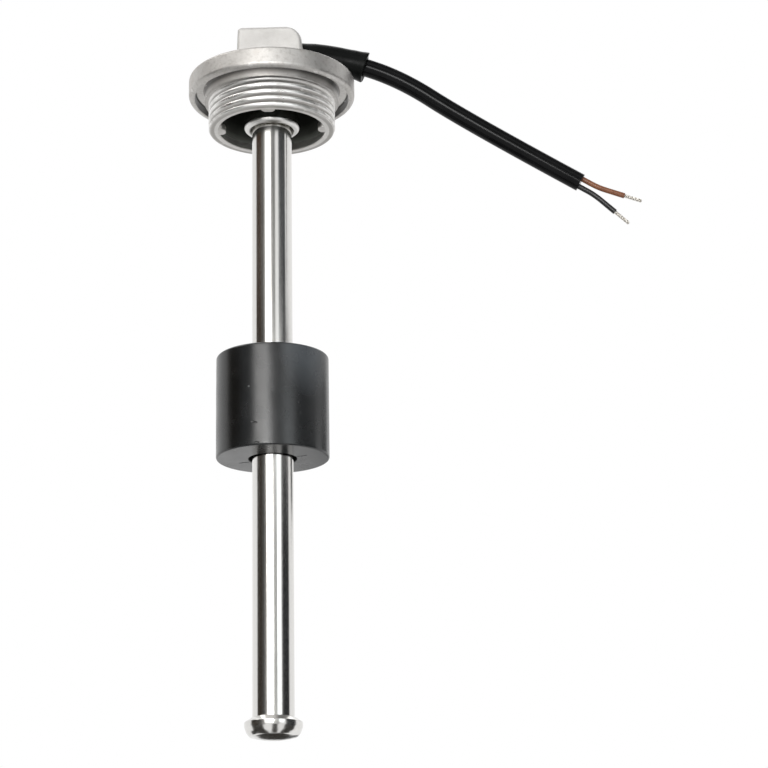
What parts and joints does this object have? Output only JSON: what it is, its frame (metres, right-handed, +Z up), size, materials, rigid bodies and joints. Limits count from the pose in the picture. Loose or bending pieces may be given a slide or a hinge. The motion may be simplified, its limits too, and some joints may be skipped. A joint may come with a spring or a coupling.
{
  "type": "tank level sender",
  "caption": "Reed-chain tank level sender: threaded cast cap with square head, polished stem, sliding black magnetic float, end stop and sleeved two-core lead.",
  "frame": {"origin": "on the stem's axis, in the plane of the flange's seating face", "axes": "+Z up along the stem, from the float towards the cap; +X towards the cable outlet"},
  "size_m": [0.1498, 0.055, 0.234],
  "materials": {
    "cast_steel": "bead-blasted cast stainless steel",
    "polished_steel": "polished stainless steel",
    "float_rubber": "smooth moulded nitrile, satin",
    "ferrite": "ground ferrite",
    "board_laminate": "glass-fibre laminate with green solder mask",
    "liner_film": "thin milky film tube",
    "foot_rubber": "moulded rubber",
    "potting_resin": "cast epoxy resin",
    "reed_glass": "clear tinted glass",
    "chip_body": "glazed ceramic chip",
    "signal_insulation": "brown core insulation",
    "ground_insulation": "black core insulation",
    "lead_jacket": "smooth black cable jacket",
    "sleeve_polymer": "semi-matte black shrink sleeve",
    "tinned_copper": "tinned strands"
  },
  "bodies": {
    "sender": {"cap": "cast_steel", "stem_collar": "polished_steel", "stem_tube": "polished_steel", "end_stop": "polished_steel", "circuit_board": "board_laminate", "board_liner": "liner_film", "board_foot": "foot_rubber", "potting_plug": "potting_resin", "reed_switches": "reed_glass", "ladder_resistors": "chip_body", "signal_wire": "signal_insulation", "ground_wire": "ground_insulation", "lead": "lead_jacket", "lead_sleeve": "sleeve_polymer", "signal_tail": "signal_insulation", "ground_tail": "ground_insulation", "signal_tip": "tinned_copper", "ground_tip": "tinned_copper"},
    "float": {"float": "float_rubber", "float_magnets": "ferrite"}
  },
  "joints": [
    {"name": "float_slide", "type": "slide", "parent": "sender", "child": "float", "axis": [0, 0, 1], "range_m": [-0.0818, 0.0787]}
  ]
}
